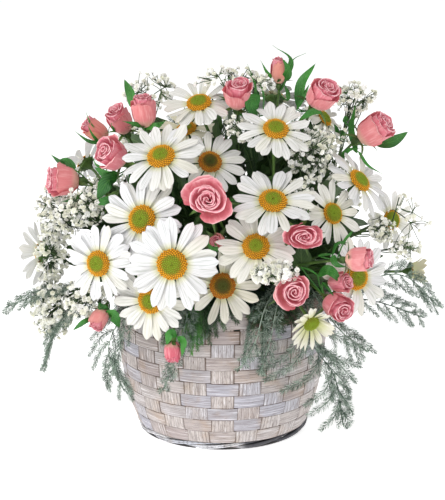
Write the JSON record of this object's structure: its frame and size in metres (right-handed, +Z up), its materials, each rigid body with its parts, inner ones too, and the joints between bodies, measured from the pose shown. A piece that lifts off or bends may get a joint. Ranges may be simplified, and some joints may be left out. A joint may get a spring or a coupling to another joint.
{
  "type": "flower basket arrangement",
  "caption": "Dome of spray daisies, spray roses, baby's breath and trailing fern standing in wet foam in a round whitewashed splint basket",
  "frame": {"origin": "middle of the basket's flat underside, on the surface it stands on", "axes": "+Z up through the basket's axis, -Y the front that faces the viewer, +X to the viewer's right"},
  "size_m": [0.362, 0.2706, 0.3196],
  "materials": {
    "splint": "whitewashed wood splint, matt, grain showing",
    "rim_splint": "smooth whitewashed splint band, matt",
    "cane": "painted twisted cane, satin",
    "floor_splint": "bare splint, matt",
    "liner": "green moulded liner, satin",
    "foam": "wet floral foam, dull",
    "daisy_petal": "living petal, matt; fabric stands in for plant tissue",
    "rose_petal": "living petal, velvety; fabric stands in for plant tissue",
    "stem": "living stem and leaf, waxy; fabric stands in for plant tissue",
    "fern": "living fern, matt; fabric stands in for plant tissue",
    "breath": "small living florets, matt; fabric stands in for plant tissue"
  },
  "bodies": {
    "root": {"basket_wall": "splint", "basket_rim": "rim_splint", "basket_foot": "cane", "basket_floor": "floor_splint", "liner": "liner", "foam": "foam", "daisy_01": "daisy_petal", "daisy_02": "daisy_petal", "daisy_03": "daisy_petal", "daisy_04": "daisy_petal", "daisy_05": "daisy_petal", "daisy_06": "daisy_petal", "daisy_07": "daisy_petal", "daisy_08": "daisy_petal", "daisy_09": "daisy_petal", "daisy_10": "daisy_petal", "daisy_11": "daisy_petal", "daisy_12": "daisy_petal", "daisy_13": "daisy_petal", "daisy_14": "daisy_petal", "daisy_15": "daisy_petal", "daisy_16": "daisy_petal", "daisy_17": "daisy_petal", "daisy_18": "daisy_petal", "daisy_19": "daisy_petal", "daisy_20": "daisy_petal", "daisy_21": "daisy_petal", "daisy_22": "daisy_petal", "daisy_23": "daisy_petal", "daisy_24": "daisy_petal", "rose_01": "rose_petal", "rose_02": "rose_petal", "rose_03": "rose_petal", "rose_04": "rose_petal", "rose_05": "rose_petal", "rose_06": "rose_petal", "rose_07": "rose_petal", "rose_08": "rose_petal", "rose_09": "rose_petal", "rose_10": "rose_petal", "rose_11": "rose_petal", "rose_12": "rose_petal", "rose_13": "rose_petal", "rose_14": "rose_petal", "rose_15": "rose_petal", "rose_16": "rose_petal", "rose_17": "rose_petal", "rose_18": "rose_petal", "daisy_stems_left": "stem", "daisy_stems_front": "stem", "daisy_stems_right": "stem", "daisy_stems_back": "stem", "rose_stems_left": "stem", "rose_stems_right": "stem", "fern_left": "fern", "fern_right": "fern", "fern_back": "fern", "breath_left": "breath", "breath_right": "breath", "breath_back": "breath"}
  },
  "joints": []
}
